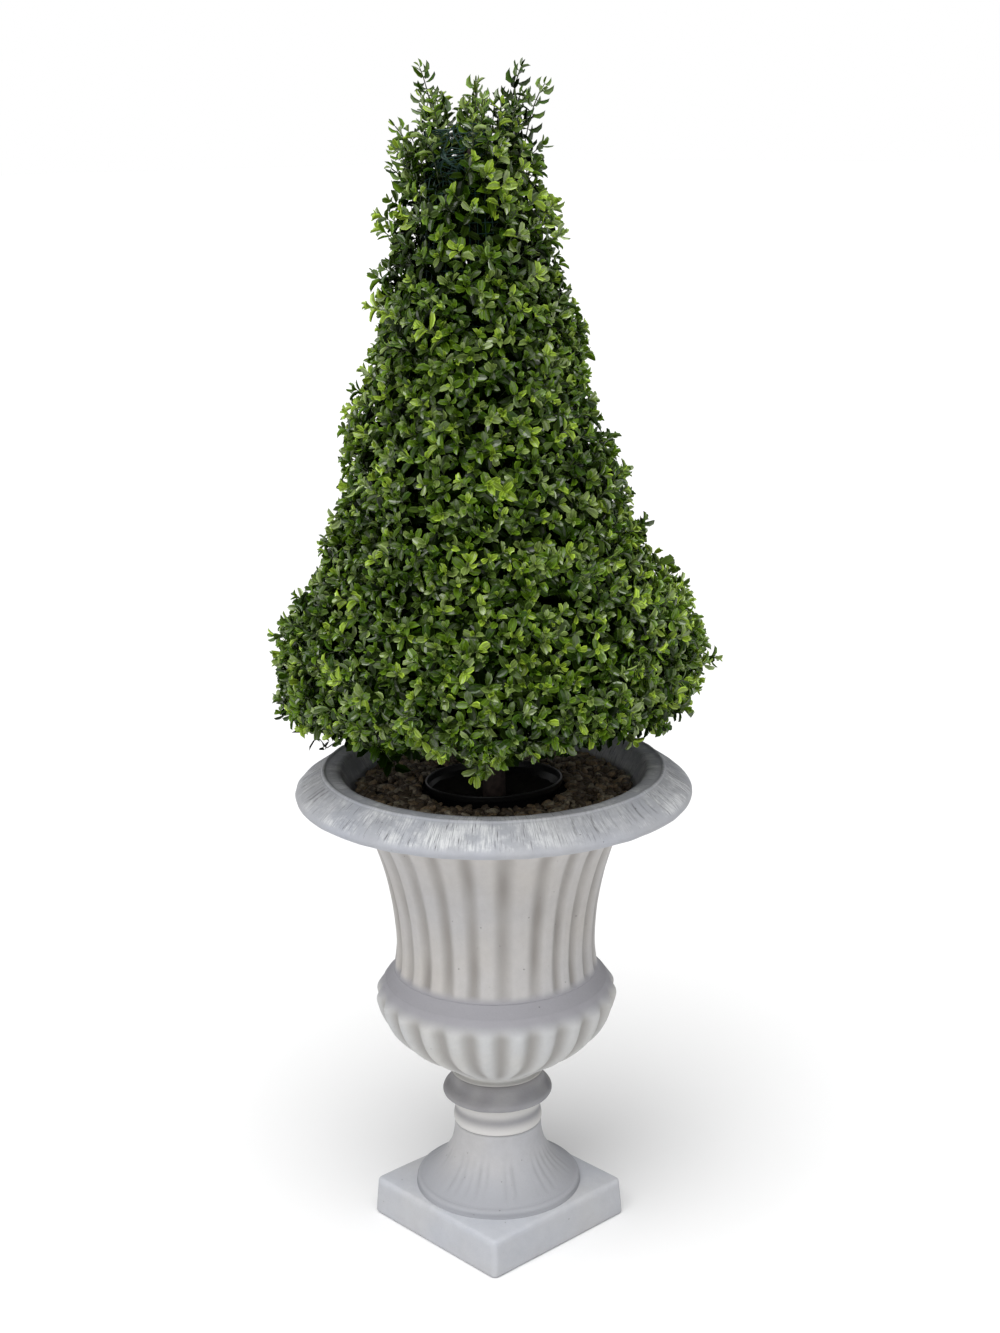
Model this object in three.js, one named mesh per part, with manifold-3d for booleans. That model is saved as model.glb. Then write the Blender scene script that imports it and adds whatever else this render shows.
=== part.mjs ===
// An artificial boxwood cone topiary in its black nursery pot, bedded in gravel in a stone-effect
// campana urn. Millimetres, +Z up, origin at the centre of the plinth's flat underside.
// Azimuths are degrees from -Y towards +X, and every profile point is [radius, height].

import * as THREE from "three";
import { mergeVertices } from "three/addons/utils/BufferGeometryUtils.js";
import Module from "manifold-3d";

// Urn: square plinth, flared foot, knob, gadrooned bowl, fluted body and wide turned-over rim.
const PLINTH_SIDE = 237;
const PLINTH_HEIGHT = 51.4;
const PLINTH_CORNER = 8;
const PLINTH_BEVEL = 4;
const PLINTH_DRAFT = 0.026;
const FOOT_RADIUS = 108;
const FOOT_EDGE = 7;
const NECK_RADIUS = 56;
const NECK_HEIGHT = 141;
const KNOB_RADIUS = 71;
const KNOB_HEIGHT = 185;
const KNOB_ROUND = 13;
const BOWL_FLOOR = 212;
const BOWL_RADIUS = 155.5;
const BODY_FLOOR = 360;
const BODY_RADIUS = 128;
const RIM_FLOOR = 584;
const RIM_RADIUS = 250;
const RIM_TOP = 631;
const MOUTH_RADIUS = 196;
const FLUTES = 24;
const FLUTE_TURN = 4.5;
const FLUTE_DEPTH = 4;
const GADROON_DEPTH = 6;

// Gravel: fills the urn's hollow up to just under the pot's rim.
const GRAVEL_TOP = 600;
const GRAVEL_WAVE = 3;

// Pot: a thin nursery pot with a rolled rim, on the topiary's own leaning axis.
const POT_RIM_HEIGHT = 612;
const POT_RADIUS = 87;
const POT_FOOT_RADIUS = 66;
const POT_DEPTH = 165;
const POT_WALL = 2.5;
const POT_LIP = 8;
const BALLAST_DEPTH = 30;
const LEAN = 2.9;
const LEAN_TOWARDS = 258;

// Topiary, in heights above the pot's rim.
const TRUNK_RADIUS = 15;
const TRUNK_TIP_RADIUS = 7;
const TRUNK_TIP = 770;
const HEM = 88;
const HEM_DROP = 9;
const HEM_LOW_SIDE = 317;
const HEM_ARCH = 26;
const CROWN_TOP = 793;

// Clearances and smoothness.
const GAP = 0.3;
const PARTING_GAP = 0.8;
const FLUTED_SIDES = 2 * FLUTES;
const RIM_SIDES = 36;
const FOOT_SIDES = 24;
const POT_SIDES = 24;
const MASS_SIDES = 24;
const TRUNK_SIDES = 16;
const TUFT_SIDES = 9;

const wasm = await Module();
wasm.setup();

const radians = THREE.MathUtils.degToRad;

// A closed profile turned about Z, its first row of points at the azimuth start.
// place(azimuth, point) may move each point of each row.
function turned(profile, sides, start = 0, place = (azimuth, point) => point) {
  const points = profile.map(([radius, height]) => new THREE.Vector2(radius, height));
  const geometry = new THREE.LatheGeometry(points, sides);
  const position = geometry.getAttribute("position");
  for (let side = 0; side <= sides; side += 1) {
    const azimuth = start + (360 * (side % sides)) / sides;
    profile.forEach((point, row) => {
      const [radius, height] = place(azimuth, point);
      const x = radius * Math.sin(radians(azimuth));
      const y = -radius * Math.cos(radians(azimuth));
      position.setXYZ(side * profile.length + row, x, y, height);
    });
  }
  return geometry;
}

// Straight-line reading of a short list of [key, value] pairs.
function between(pairs, key) {
  if (key <= pairs[0][0]) return pairs[0][1];
  for (let i = 1; i < pairs.length; i += 1) {
    const [low, lowValue] = pairs[i - 1];
    const [high, highValue] = pairs[i];
    if (key <= high) return lowValue + ((highValue - lowValue) * (key - low)) / (high - low);
  }
  return pairs[pairs.length - 1][1];
}

// A [radius, height] profile turned round, for reading its radius at a height.
function byHeight(profile) {
  return profile.map(([radius, height]) => [height, radius]);
}

// Points on an arc about [radius, height], from one angle to another, in the profile's plane.
function arc([radius, height], size, from, to, steps) {
  return Array.from({ length: steps + 1 }, (unused, i) => {
    const angle = radians(from + ((to - from) * i) / steps);
    return [radius + size * Math.cos(angle), height + size * Math.sin(angle)];
  });
}

function solidOf(geometry) {
  const bare = geometry.clone();
  bare.deleteAttribute("normal");
  bare.deleteAttribute("uv");
  const merged = mergeVertices(bare, 1e-3);
  const vertProperties = new Float32Array(merged.getAttribute("position").array);
  const triVerts = new Uint32Array(merged.index.array);
  return new wasm.Manifold(new wasm.Mesh({ numProp: 3, vertProperties, triVerts }));
}

function geometryOf(solid) {
  const mesh = solid.getMesh();
  const geometry = new THREE.BufferGeometry();
  geometry.setAttribute("position", new THREE.BufferAttribute(mesh.vertProperties, 3));
  geometry.setIndex(new THREE.BufferAttribute(mesh.triVerts, 1));
  return geometry;
}

function piece(parent, name, geometry, color, roughness) {
  const material = new THREE.MeshStandardMaterial({ color, roughness, metalness: 0 });
  const mesh = new THREE.Mesh(geometry, material);
  mesh.name = name;
  parent.add(mesh);
}

// Plinth: a square slab with rounded corners and eased edges, drawn in slightly towards its top.
function plinth() {
  const half = PLINTH_SIDE / 2 - PLINTH_BEVEL;
  const reach = half - PLINTH_CORNER;
  const outline = new THREE.Shape();
  const corners = [[reach, reach], [-reach, reach], [-reach, -reach], [reach, -reach]];
  corners.forEach(([x, y], i) => {
    outline.absarc(x, y, PLINTH_CORNER, radians(90 * i), radians(90 * (i + 1)), false);
  });
  const geometry = new THREE.ExtrudeGeometry(outline, {
    depth: PLINTH_HEIGHT - 2 * PLINTH_BEVEL,
    bevelThickness: PLINTH_BEVEL,
    bevelSize: PLINTH_BEVEL,
    bevelSegments: 1,
    curveSegments: 3,
  });
  geometry.translate(0, 0, PLINTH_BEVEL);
  const position = geometry.getAttribute("position");
  for (let i = 0; i < position.count; i += 1) {
    const narrowing = 1 - (PLINTH_DRAFT * position.getZ(i)) / PLINTH_HEIGHT;
    position.setXY(i, position.getX(i) * narrowing, position.getY(i) * narrowing);
  }
  return geometry;
}

// Foot: a thin round disc under a hollow-sided flare that draws in to the neck.
function foot() {
  const discEdge = arc([FOOT_RADIUS - FOOT_EDGE, PLINTH_HEIGHT + 4], FOOT_EDGE, 0, 75, 3);
  const flare = [[96, 67], [85, 76.5], [75, 86.5], [66, 98], [60.5, 111], [57.5, 126]];
  return turned(
    [
      [0, PLINTH_HEIGHT],
      [FOOT_RADIUS, PLINTH_HEIGHT],
      ...discEdge,
      ...flare,
      [NECK_RADIUS + 1, NECK_HEIGHT],
      [0, NECK_HEIGHT],
    ],
    FOOT_SIDES,
  );
}

// Knob: a flat band, a shallow cove, the fat ring and the fillet that the bowl stands on.
function knob() {
  const ring = arc([KNOB_RADIUS - KNOB_ROUND, KNOB_HEIGHT], KNOB_ROUND, -50, 60, 5);
  return turned(
    [
      [0, NECK_HEIGHT],
      [NECK_RADIUS + 1, NECK_HEIGHT],
      [NECK_RADIUS + 1, 150],
      [NECK_RADIUS - 1, 157],
      [NECK_RADIUS + 1, 168],
      ...ring,
      [59, 203],
      [58, BOWL_FLOOR],
      [0, BOWL_FLOOR],
    ],
    FOOT_SIDES,
  );
}

// The urn's hollow, from the bowl's floor to the mouth. The bowl, body and rim share it.
const BOWL_HOLLOW_FLOOR = 236;
const BOWL_HOLLOW = [[72, 240], [112, 270], [128, 316], [112, BODY_FLOOR]];
const BODY_HOLLOW = [[112, BODY_FLOOR], [109, 410], [124, 500], [168, RIM_FLOOR]];
const RIM_HOLLOW = [[168, RIM_FLOOR], [181, 602], [MOUTH_RADIUS, RIM_TOP]];

// Tells a point of the urn's outer face from one of its hollow.
function onOuterFace(hollow, [radius, height]) {
  return radius > between(byHeight(hollow), height) + GAP;
}

// How far into a groove an azimuth lies: 1 along the groove, 0 on the crest between two.
function groove(azimuth) {
  return 0.5 + 0.5 * Math.cos(radians(FLUTES * (azimuth - FLUTE_TURN)));
}

// Bowl: round-bellied, with upright lobes that fade out at its knee and at the knob.
function bowl() {
  const belly = [
    [58, BOWL_FLOOR],
    [62, 221],
    [89, 240.5],
    [107, 252],
    [124.5, 266],
    [142, 286],
    [BOWL_RADIUS, 318],
    [151.5, 333],
    [131.5, BODY_FLOOR],
  ];
  const lobeDepth = [[225, 0], [245, GADROON_DEPTH], [300, GADROON_DEPTH], [325, 0]];
  const outline = [[0, BOWL_FLOOR], ...belly, ...BOWL_HOLLOW.toReversed(), [0, BOWL_HOLLOW_FLOOR]];
  return turned(outline, FLUTED_SIDES, FLUTE_TURN, (azimuth, point) => {
    const [radius, height] = point;
    const depth = onOuterFace(BOWL_HOLLOW, point) ? between(lobeDepth, height) : 0;
    return [radius - depth * groove(azimuth), height];
  });
}

// Body: a waisted wall with narrow upright flutes that opens out under the rim.
function body() {
  const wall = [
    [131.5, BODY_FLOOR],
    [129, 376],
    [BODY_RADIUS, 405],
    [133.5, 460],
    [145.5, 510],
    [160, 548],
    [184, RIM_FLOOR],
  ];
  const fluteDepth = [[366, 0], [376, FLUTE_DEPTH], [560, FLUTE_DEPTH], [RIM_FLOOR, 0]];
  const outline = [...wall, ...BODY_HOLLOW.toReversed(), wall[0]];
  return turned(outline, FLUTED_SIDES, FLUTE_TURN, (azimuth, point) => {
    const [radius, height] = point;
    const depth = onOuterFace(BODY_HOLLOW, point) ? between(fluteDepth, height) : 0;
    return [radius - depth * groove(azimuth), height];
  });
}

// Rim: a lip turned out and down, with a low ridge between its sloping face and its inner ledge.
function rim() {
  const lip = [
    [184, RIM_FLOOR],
    [227, 588],
    [243, 592],
    [248.5, 596.5],
    [RIM_RADIUS, 602],
    [245, 607],
    [232, 616],
    [216, 626],
    [210, RIM_TOP],
    [204, 629],
    [199, 629.5],
  ];
  return turned([...lip, ...RIM_HOLLOW.toReversed(), lip[0]], RIM_SIDES);
}

// The pot's outside, from the middle of its underside to the top of its rolled rim.
const POT_OUTSIDE = [
  [0, -POT_DEPTH],
  [POT_FOOT_RADIUS, -POT_DEPTH],
  [POT_RADIUS - 4, -POT_LIP],
  [POT_RADIUS, -POT_LIP],
  [POT_RADIUS, -1],
  [POT_RADIUS - 1, 0],
];

function pot() {
  const inside = [
    [POT_RADIUS - POT_WALL - 1, 0],
    [POT_RADIUS - POT_WALL - 4, -POT_LIP],
    [POT_FOOT_RADIUS - POT_WALL, POT_WALL - POT_DEPTH],
    [0, POT_WALL - POT_DEPTH],
  ];
  return turned([...POT_OUTSIDE, ...inside], POT_SIDES);
}

// Ballast: the weight cast in the pot round the trunk's foot.
function ballast() {
  const inside = (height) =>
    between(
      [
        [POT_WALL - POT_DEPTH, POT_FOOT_RADIUS - POT_WALL],
        [-POT_LIP, POT_RADIUS - POT_WALL - 4],
      ],
      height,
    ) - 2 * GAP;
  const floor = POT_WALL - POT_DEPTH + GAP;
  return turned(
    [
      [0, floor],
      [inside(floor), floor],
      [inside(-BALLAST_DEPTH), -BALLAST_DEPTH],
      [0, -BALLAST_DEPTH],
    ],
    POT_SIDES,
  );
}

function trunkRadius(height) {
  return between([[-BALLAST_DEPTH, TRUNK_RADIUS], [TRUNK_TIP, TRUNK_TIP_RADIUS]], height);
}

// Trunk: a tapering stem, cut flat at the ballast, that runs up to the crown.
function trunk() {
  const foot = GAP - BALLAST_DEPTH;
  return turned(
    [
      [0, foot],
      [trunkRadius(foot), foot],
      [trunkRadius(200), 200],
      [trunkRadius(500), 500],
      [TRUNK_TIP_RADIUS, TRUNK_TIP],
      [0, TRUNK_TIP],
    ],
    TRUNK_SIDES,
  );
}

// Outline of the whole cone: a full skirt under a steeper, straighter upper part.
const CONE = [
  [60, 226],
  [90, 252],
  [140, 271],
  [195, 262],
  [265, 226],
  [330, 190],
  [480, 147],
  [630, 111],
  [760, 93],
  [CROWN_TOP, 86],
];

// Clumps of sprays that stand proud of the clipped outline and hollows between them.
function clumps(azimuth, height) {
  const broad = 0.03 * Math.sin(radians(3 * azimuth + 1.9 * height + 40));
  const middle = 0.032 * Math.sin(radians(5 * azimuth - 2.7 * height + 110));
  const small = 0.022 * Math.sin(radians(9 * azimuth + 4.1 * height));
  return 1 + broad + middle + small;
}

// The uneven surface that parts two tiers, or forms the hem, at a share of the way out.
function parting(level, azimuth, share) {
  if (level === HEM) {
    const droop = HEM_DROP * Math.cos(radians(azimuth - HEM_LOW_SIDE));
    const ragged = 8 * Math.sin(radians(5 * azimuth + 60)) + 6 * Math.sin(radians(9 * azimuth));
    return HEM + HEM_ARCH * (1 - share) - (droop - ragged) * share;
  }
  if (level === CROWN_TOP) return CROWN_TOP;
  return level + 9 * share * Math.sin(radians(4 * azimuth + level));
}

// One tier of foliage between two partings, bored for the trunk.
function tier(low, high) {
  const wallSteps = 5;
  const wall = Array.from({ length: wallSteps + 1 }, (unused, i) => [1, i / wallSteps]);
  const loop = [[0, 0], [0.55, 0], [0.9, 0], ...wall, [0.9, 1], [0.55, 1], [0, 1], [0, 0]];
  return turned(loop, MASS_SIDES, 0, (azimuth, [share, rise]) => {
    const floor = parting(low, azimuth, share) + PARTING_GAP / 2;
    const roof = parting(high, azimuth, share) - PARTING_GAP / 2;
    const height = floor + (roof - floor) * rise;
    const bore = trunkRadius(height) + 2 * GAP;
    const edge = between(CONE, height) * clumps(azimuth, height);
    return [bore + (edge - bore) * share, height];
  });
}

// A tuft of upright sprays on the crown: base and tip are [azimuth, reach], thickness at its base.
function tuft([baseAzimuth, baseReach], [tipAzimuth, tipReach], thickness, rise) {
  const spot = (azimuth, reach) =>
    new THREE.Vector2(reach * Math.sin(radians(azimuth)), -reach * Math.cos(radians(azimuth)));
  const base = spot(baseAzimuth, baseReach);
  const tip = spot(tipAzimuth, tipReach);
  const shape = [[0, 0], [1, 0], [0.9, 0.25], [0.78, 0.5], [0.55, 0.78], [0.16, 1], [0, 1]];
  const geometry = turned(
    shape.map(([width, up]) => [thickness * width, up * rise]),
    TUFT_SIDES,
  );
  const position = geometry.getAttribute("position");
  for (let i = 0; i < position.count; i += 1) {
    const bend = (position.getZ(i) / rise) ** 1.5;
    const centre = base.clone().lerp(tip, bend);
    position.setXY(i, position.getX(i) + centre.x, position.getY(i) + centre.y);
  }
  geometry.translate(0, 0, CROWN_TOP + GAP);
  return geometry;
}

const assembly = new THREE.Group();
const topiary = new THREE.Group();
const leanAxis = new THREE.Vector3(Math.cos(radians(LEAN_TOWARDS)), Math.sin(radians(LEAN_TOWARDS)), 0);
topiary.position.set(0, 0, POT_RIM_HEIGHT);
topiary.setRotationFromAxisAngle(leanAxis, radians(LEAN));
topiary.updateMatrix();
assembly.add(topiary);

// Gravel: fits the hollow with an uneven top and is hollowed for the leaning pot.
function gravel() {
  const hollow = [...BOWL_HOLLOW, ...BODY_HOLLOW.slice(1)];
  const side = hollow.map(([radius, height]) => [radius - 2 * GAP, height + GAP]);
  const top = [174, 142, 112, 0].map((radius) => [radius, GRAVEL_TOP]);
  const outline = [[0, BOWL_HOLLOW_FLOOR + GAP], ...side, ...top];
  const fill = turned(outline, FLUTED_SIDES, FLUTE_TURN, (azimuth, [radius, height]) => {
    if (height < GRAVEL_TOP || radius === 0) return [radius, height];
    const wave = Math.sin(radians(3 * azimuth + radius)) + 0.6 * Math.sin(radians(7 * azimuth - 3 * radius));
    return [radius, height + (GRAVEL_WAVE * wave) / 1.6];
  });
  const seat = POT_OUTSIDE.map(([radius, height]) => [radius > 0 ? radius + 2 * GAP : 0, height]);
  seat[0][1] -= GAP;
  seat[1][1] -= GAP;
  seat[2][0] = POT_RADIUS + 2 * GAP;
  seat.push([POT_RADIUS + 2 * GAP, POT_LIP], [0, POT_LIP]);
  const cutter = turned(seat, POT_SIDES).applyMatrix4(topiary.matrix);
  return geometryOf(solidOf(fill).subtract(solidOf(cutter)));
}

const STONE = "#b4b3b5";
const STONE_WARM = "#b3aea9";
const GRAVEL_BROWN = "#2a2620";
const POT_BLACK = "#101011";
const BALLAST_BLACK = "#141315";
const BARK_BROWN = "#3a2f2b";

piece(assembly, "urn_plinth", plinth(), STONE, 0.85);
piece(assembly, "urn_foot", foot(), STONE, 0.85);
piece(assembly, "urn_knob", knob(), STONE, 0.85);
piece(assembly, "urn_bowl", bowl(), STONE_WARM, 0.85);
piece(assembly, "urn_body", body(), STONE_WARM, 0.85);
piece(assembly, "urn_rim", rim(), STONE, 0.85);
piece(assembly, "gravel_fill", gravel(), GRAVEL_BROWN, 0.9);
piece(topiary, "nursery_pot", pot(), POT_BLACK, 0.4);
piece(topiary, "pot_ballast", ballast(), BALLAST_BLACK, 0.9);
piece(topiary, "trunk", trunk(), BARK_BROWN, 0.9);

const TIERS = [
  ["foliage_skirt", HEM, 170, "#3f5a1f"],
  ["foliage_lower", 170, 300, "#46651f"],
  ["foliage_middle", 300, 450, "#4c6b24"],
  ["foliage_upper", 450, 620, "#456324"],
  ["foliage_crown", 620, CROWN_TOP, "#4d6d26"],
];
TIERS.forEach(([name, low, high, color]) => {
  piece(topiary, name, tier(low, high), color, 0.5);
});

// Tufts round the open top: [name, base, tip, thickness, rise].
const TUFTS = [
  ["foliage_tuft_left", [312, 42], [316, 58], 21, 76],
  ["foliage_tuft_middle", [120, 4], [120, 12], 17, 56],
  ["foliage_tuft_right", [132, 46], [136, 66], 22, 72],
  ["foliage_tuft_outer", [92, 66], [118, 100], 14, 48],
  ["foliage_tuft_back", [222, 46], [215, 58], 22, 50],
];
TUFTS.forEach(([name, base, tip, thickness, rise]) => {
  piece(topiary, name, tuft(base, tip, thickness, rise), "#54752a", 0.5);
});

export default assembly;
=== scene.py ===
import math
import random

import bmesh
import bpy
import numpy as np
from mathutils import Matrix, Vector, noise


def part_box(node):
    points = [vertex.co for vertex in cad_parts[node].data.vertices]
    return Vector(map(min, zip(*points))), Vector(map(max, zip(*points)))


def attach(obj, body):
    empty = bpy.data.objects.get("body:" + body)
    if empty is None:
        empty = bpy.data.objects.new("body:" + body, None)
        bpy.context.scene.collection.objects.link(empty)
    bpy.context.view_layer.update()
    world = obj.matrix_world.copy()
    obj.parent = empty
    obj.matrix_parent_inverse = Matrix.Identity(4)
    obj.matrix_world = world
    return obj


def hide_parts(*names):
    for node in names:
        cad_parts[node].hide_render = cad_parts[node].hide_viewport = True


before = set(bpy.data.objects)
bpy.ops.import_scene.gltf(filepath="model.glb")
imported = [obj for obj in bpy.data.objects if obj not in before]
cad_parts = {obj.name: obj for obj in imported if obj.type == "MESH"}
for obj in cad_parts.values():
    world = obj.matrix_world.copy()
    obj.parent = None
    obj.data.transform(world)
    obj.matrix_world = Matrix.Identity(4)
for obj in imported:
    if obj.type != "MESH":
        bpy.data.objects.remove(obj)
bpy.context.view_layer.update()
scene = bpy.context.scene


# Plinth: a square slab of light cast stone, cast face down in a box mould, so its corners and
# edges are eased and its sides draw in a little towards the top. The foot is bedded on it.
PLINTH_SIDE = 0.2370
PLINTH_DRAFT = 0.026
PLINTH_CORNER = 0.008
PLINTH_EDGE = 0.0048
PLINTH_CUTS = 14
PLINTH_COURSES = (0.3, 0.55, 0.8)
WORN_ABOVE = 0.004
STONE_SHINE = 0.28
PIN_HOLE = (0.09, 0.085, 0.08)
PIN_HOLE_SHARE = 0.5


def wired(node, inputs):
    """Sets a node's inputs, each to a number, a colour or what another node puts out."""
    for title, value in inputs.items():
        if isinstance(value, bpy.types.NodeSocket):
            node.id_data.links.new(value, node.inputs[title])
        else:
            node.inputs[title].default_value = value
    return node


def blank(name, inputs):
    """A new material, with its nodes and its shader, which takes the inputs given."""
    material = bpy.data.materials.new(name)
    material.use_nodes = True
    nodes = material.node_tree.nodes
    return material, nodes, wired(nodes["Principled BSDF"], inputs)


def cloud(nodes, scale, detail=2, rough=0.5, place=None):
    """Smooth noise from 0 to 1, over the object's own place if no other is given."""
    if place is None:
        place = nodes.new("ShaderNodeTexCoord").outputs["Object"]
    inputs = {"Vector": place, "Scale": scale, "Detail": detail, "Roughness": rough}
    return wired(nodes.new("ShaderNodeTexNoise"), inputs).outputs["Fac"]


def stretched(nodes, value, low, high, to_low, to_high):
    """Stretches the range from low to high into the range from to_low to to_high."""
    inputs = dict(enumerate((value, low, high, to_low, to_high)))
    return wired(nodes.new("ShaderNodeMapRange"), inputs).outputs["Result"]


def mesh_layer(nodes, title):
    """Reads one of the mesh's own layers."""
    reader = nodes.new("ShaderNodeAttribute")
    reader.attribute_name = title
    return reader.outputs["Fac"]


def dented(nodes, height, strength, depth, under=None, sunk=False):
    """A bumped skin, laid over another one if that is given."""
    bump = nodes.new("ShaderNodeBump")
    bump.invert = sunk
    inputs = {"Height": height, "Strength": strength, "Distance": depth}
    if under is not None:
        inputs["Normal"] = under
    return wired(bump, inputs).outputs["Normal"]


def cast_stone(name, body, hollow, wear_and_light_tone=(0.52, 0.535, 0.56), wash=0.0):
    """Grey cast stone: cloudy and grained, with pin holes left by air. The mesh's own layers say
    how far it is darkened, as painted shade in its hollows and on shaded faces, with some dirt and
    dark joints, and how far it turns to a second tone, as wear and as painted light and shade. A
    wash is a thin coat of pale slip, dragged outwards from the axis with a dry brush."""
    material, nodes, shader = blank(name, {"Specular IOR Level": STONE_SHINE})
    place = nodes.new("ShaderNodeTexCoord").outputs["Object"]
    wear_and_painted_light = mesh_layer(nodes, "wear_and_painted_light")

    def layered(under, over, share, kind="MIX"):
        mix = nodes.new("ShaderNodeMix")
        mix.data_type = "RGBA"
        mix.blend_type = kind
        under, over = (part if isinstance(part, bpy.types.NodeSocket) else (*part, 1)
                       for part in (under, over))
        return wired(mix, {6: under, 7: over, 0: share}).outputs[2]

    def worked(kind, operation, *parts):
        node = nodes.new(kind)
        node.operation = operation
        return wired(node, dict(enumerate(parts))).outputs[0]

    cool = tuple(part * tint for part, tint in zip(body, (0.955, 0.98, 1.03)))
    colour = layered(body, cool, stretched(nodes, cloud(nodes, 7, 3), 0.38, 0.62, 0, 1))
    mottle = stretched(nodes, cloud(nodes, 70, 5, 0.62), 0.3, 0.7, 0.35, 0.65)
    colour = layered(colour, mottle, 0.16, "OVERLAY")
    # Darker where the hollow layer says: painted shade, with some dirt and dark joints.
    colour = layered(colour, hollow, mesh_layer(nodes, "hollow"))
    # The second tone is wear on some pieces, and painted light and painted shade on others.
    if wash:
        way = worked("ShaderNodeVectorMath", "MULTIPLY", place, (1, 1, 0))
        way = worked("ShaderNodeVectorMath", "NORMALIZE", way)
        around = worked("ShaderNodeVectorMath", "MULTIPLY", way, (150, 150, 0))
        dragged = worked("ShaderNodeVectorMath", "MULTIPLY_ADD", place, (40, 40, 60), around)
        streak = cloud(nodes, 1, 4, 0.6, dragged)
        patches = stretched(nodes, cloud(nodes, 30, 5, 0.66), 0.44, 0.58, 0, 1)
        strokes = stretched(nodes, streak, 0.42, 0.58, 0.15, 1)
        ticks = stretched(nodes, streak, 0.41, 0.33, 0, wash)
        brushed_and_lit = layered((0, 0, 0), layered((0, 0, 0), patches, strokes), wear_and_painted_light)
        colour = layered(colour, wear_and_light_tone, brushed_and_lit)
        colour = layered(colour, hollow, layered((0, 0, 0), ticks, wear_and_painted_light))
    else:
        colour = layered(colour, wear_and_light_tone, wear_and_painted_light)
    grain = cloud(nodes, 1100, 3, 0.6)
    colour = layered(colour, stretched(nodes, grain, 0.3, 0.7, 0.42, 0.58), 0.3, "OVERLAY")

    cells = wired(nodes.new("ShaderNodeTexVoronoi"), {"Vector": place, "Scale": 95})
    holes = stretched(nodes, cells.outputs["Distance"], 0.055, 0.11, 1, 0)
    few = stretched(nodes, cloud(nodes, 38), 0.56, 0.62, 0, 1)
    pinned = worked("ShaderNodeMath", "MULTIPLY", holes, few)
    colour = layered(colour, PIN_HOLE, worked("ShaderNodeMath", "MULTIPLY", pinned, PIN_HOLE_SHARE))

    skin = dented(nodes, grain, 0.22, 0.0006)
    skin = dented(nodes, cloud(nodes, 130, 4, 0.55), 0.35, 0.0015, skin)
    skin = dented(nodes, pinned, 0.8, 0.0008, skin, sunk=True)
    rough = stretched(nodes, mottle, 0.35, 0.65, 0.62, 0.82)
    wired(shader, {"Base Color": colour, "Roughness": rough, "Normal": skin})
    return material


def placed(name, mesh, material):
    """An object with that mesh, in one material."""
    mesh.materials.append(material)
    piece = bpy.data.objects.new(name, mesh)
    scene.collection.objects.link(piece)
    return piece


def finished(name, shape, material, smooth=True):
    """Turns a bmesh into an object with one material."""
    for face in shape.faces:
        face.smooth = smooth
    mesh = bpy.data.meshes.new(name)
    shape.to_mesh(mesh)
    shape.free()
    return placed(name, mesh, material)


def hand_worn(shape, size, depth):
    """Softens a cast shape with the faint unevenness of a hand-filled mould."""
    for vert in shape.verts:
        vert.co += vert.normal * depth * noise.noise(vert.co / size)


def marked(shape, hollow, wear_and_painted_light):
    """Writes, from 0 to 1 as layers of the mesh, how far each point is darkened (painted shade, with some
    dirt) and how far it turns to the second tone (wear, and painted light and shade).
    """
    hollows = shape.verts.layers.float.new("hollow")
    wear_and_light_layer = shape.verts.layers.float.new("wear_and_painted_light")
    for vert in shape.verts:
        vert[hollows] = hollow(vert.co)
        vert[wear_and_light_layer] = wear_and_painted_light(vert.co)


def ramp(value, low, high):
    """0 below low, 1 above high, and an eased slope between them."""
    share = min(1.0, max(0.0, (value - low) / (high - low)))
    return share * share * (3 - 2 * share)


def sliced(shape, spot, way):
    """Cuts new edges right across a shape, in the plane through the spot."""
    everything = shape.verts[:] + shape.edges[:] + shape.faces[:]
    bmesh.ops.bisect_plane(shape, geom=everything, plane_co=spot, plane_no=way)


PLINTH_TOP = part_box("urn_plinth")[1].z
slab = bmesh.new()
bmesh.ops.create_cube(slab, size=1)
bmesh.ops.scale(slab, vec=(PLINTH_SIDE, PLINTH_SIDE, PLINTH_TOP), verts=slab.verts)
bmesh.ops.translate(slab, vec=(0, 0, PLINTH_TOP / 2), verts=slab.verts)
for stands, size, steps in ((True, PLINTH_CORNER, 6), (False, PLINTH_EDGE, 4)):
    edges = [edge for edge in slab.edges
             if (abs(edge.verts[0].co.z - edge.verts[1].co.z) > PLINTH_TOP / 2) == stands]
    bmesh.ops.bevel(slab, geom=edges, offset=size, segments=steps, profile=0.5, affect="EDGES", material=-1)
for cut in range(1, PLINTH_CUTS):
    across = PLINTH_SIDE * (cut / PLINTH_CUTS - 0.5)
    for way in ((1, 0, 0), (0, 1, 0)):
        sliced(slab, Vector(way) * across, way)
for height in PLINTH_COURSES:
    sliced(slab, (0, 0, PLINTH_TOP * height), (0, 0, 1))
for vert in slab.verts:
    drawn_in = 1 - PLINTH_DRAFT * vert.co.z / PLINTH_TOP
    vert.co.x *= drawn_in
    vert.co.y *= drawn_in
bmesh.ops.recalc_face_normals(slab, faces=slab.faces)
for vert in slab.verts:
    if vert.co.z > WORN_ABOVE:
        vert.co += vert.normal * 0.0005 * noise.noise(vert.co / 0.05)
# The sides, below the top edge, are darkened a little: painted shade. Paler patches fall at random.
marked(slab,
       lambda co: 0.22 * (1 - ramp(co.z, 0.040, 0.047)),
       lambda co: 0.35 * ramp(noise.noise(co / 0.02), 0.1, 0.5))
stone_plinth = cast_stone("cast_stone_plinth", (0.515, 0.518, 0.532), (0.32, 0.32, 0.33))
plinth = finished("plinth", slab, stone_plinth)
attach(plinth, "root")
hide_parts("urn_plinth")


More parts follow.
